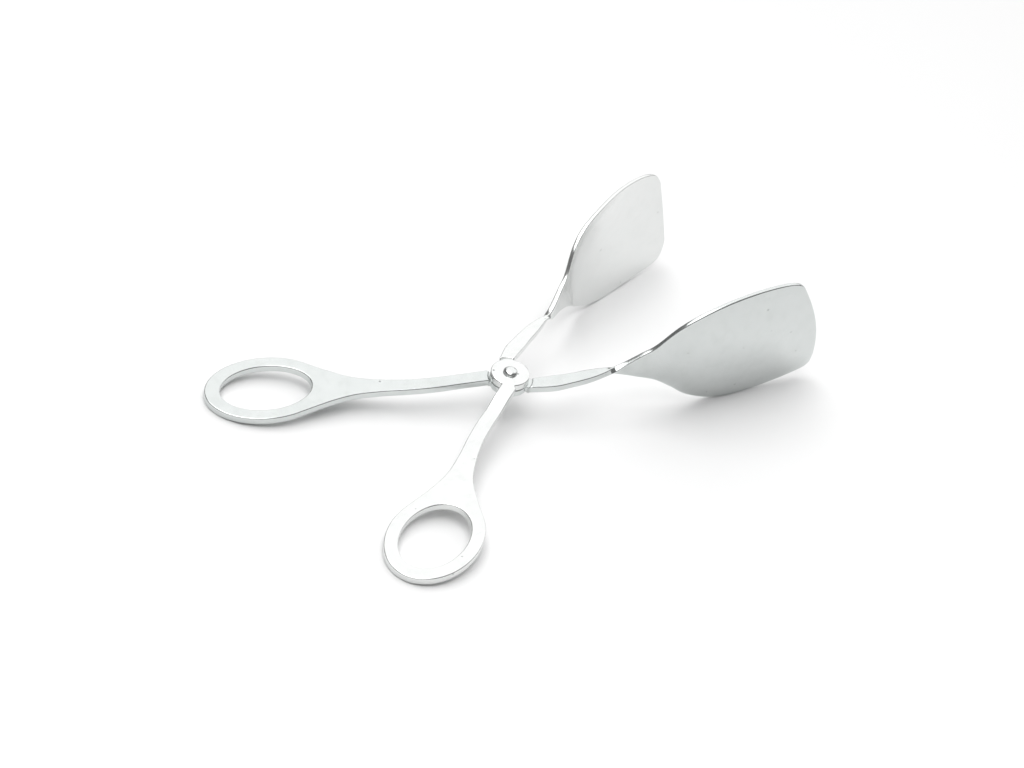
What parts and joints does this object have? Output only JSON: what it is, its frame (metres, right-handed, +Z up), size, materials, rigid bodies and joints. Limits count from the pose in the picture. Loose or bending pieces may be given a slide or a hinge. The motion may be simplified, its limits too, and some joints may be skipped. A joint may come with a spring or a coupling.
{
  "type": "serving tongs",
  "caption": "Scissor-action serving tongs: crossed steel levers on a rivet, oval finger rings, broad hollowed blades.",
  "frame": {"origin": "middle of the part's box on the surface it lies on, rings and blade heels down", "axes": "+X from the finger rings to the blades, +Z up through the rivet's domed head"},
  "size_m": [0.2142, 0.116, 0.0493],
  "materials": {
    "lever_steel": "polished, satin blades",
    "rivet_steel": "polished"
  },
  "bodies": {
    "lower_body": {"lower_lever": "lever_steel", "pivot_rivet": "rivet_steel"},
    "upper_body": {"upper_lever": "lever_steel"}
  },
  "joints": [
    {"name": "pivot", "type": "hinge", "parent": "lower_body", "child": "upper_body", "pos_m": [-0.01452, 0, 0.01332], "axis": [-0.1292, 0, 0.9916], "range_deg": [-34, 40]}
  ]
}
